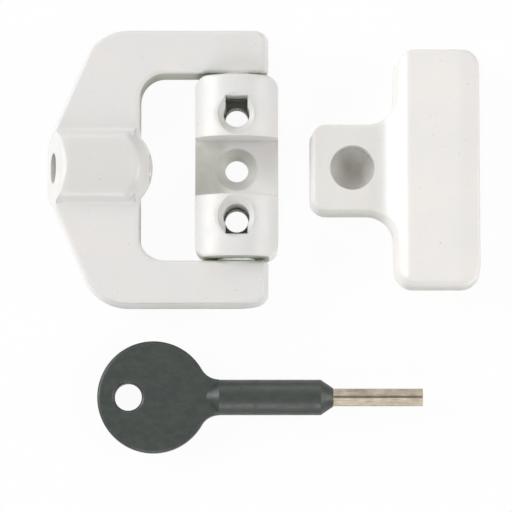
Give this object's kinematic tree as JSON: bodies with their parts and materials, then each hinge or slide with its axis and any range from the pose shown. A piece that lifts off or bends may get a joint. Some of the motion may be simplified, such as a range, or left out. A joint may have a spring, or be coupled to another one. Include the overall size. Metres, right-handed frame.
{
  "type": "window lock",
  "caption": "Swing-arm window lock laid out flat: slotted hinge block, D-shaped arm with a key-driven lock screw, ramped keep with a dimple, and hex key.",
  "frame": {"origin": "middle of the hinge block's base, on the axis of its centre screw hole, in the surface that all the pieces lie on", "axes": "+Z out of the surface, along the centre screw hole; +Y along the hinge; the arm lies folded flat towards -X, the keep lies on the +X side and the key on the -Y side"},
  "size_m": [0.0824, 0.08, 0.0124],
  "materials": {
    "white_powder_coat": "satin white powder coat on a zinc casting",
    "pin_steel": "satin",
    "screw_steel": "satin",
    "blade_steel": "drawn, slightly warm",
    "white_nylon": "matt",
    "grey_plastic": "fine matt, dark green-grey"
  },
  "bodies": {
    "hinge_block": {"hinge_block": "white_powder_coat"},
    "swing_arm": {"swing_arm": "white_powder_coat", "hinge_pin_upper": "pin_steel", "hinge_pin_lower": "pin_steel", "pivot_washer_upper": "white_nylon", "pivot_washer_lower": "white_nylon"},
    "screw_carrier": {"screw_friction_ring": "white_nylon"},
    "lock_screw": {"lock_screw": "screw_steel"},
    "keep": {"keep": "white_powder_coat"},
    "key": {"key_bow": "grey_plastic", "key_blade": "blade_steel"}
  },
  "joints": [
    {"name": "arm_swing", "type": "hinge", "parent": "hinge_block", "child": "swing_arm", "pos_m": [0, 0, 0.0063], "axis": [0, 1, 0], "range_deg": [0, 104]},
    {"name": "screw_advance", "type": "slide", "parent": "swing_arm", "child": "screw_carrier", "axis": [1, 0, 0], "range_m": [0, 0.005]},
    {"name": "screw_turn", "type": "hinge", "parent": "screw_carrier", "child": "lock_screw", "pos_m": [-0.02, 0, 0.0063], "axis": [1, 0, 0], "range_deg": [0, 1800]},
    {"name": "keep_lift", "type": "slide", "parent": "hinge_block", "child": "keep", "axis": [0, 0, 1], "range_m": [0, 0.02]},
    {"name": "key_lift", "type": "slide", "parent": "hinge_block", "child": "key", "axis": [0, 0, 1], "range_m": [0, 0.02]}
  ],
  "couplings": [
    {"joint": "screw_turn", "follows": "screw_advance", "rad_per_m": 6283.2}
  ]
}
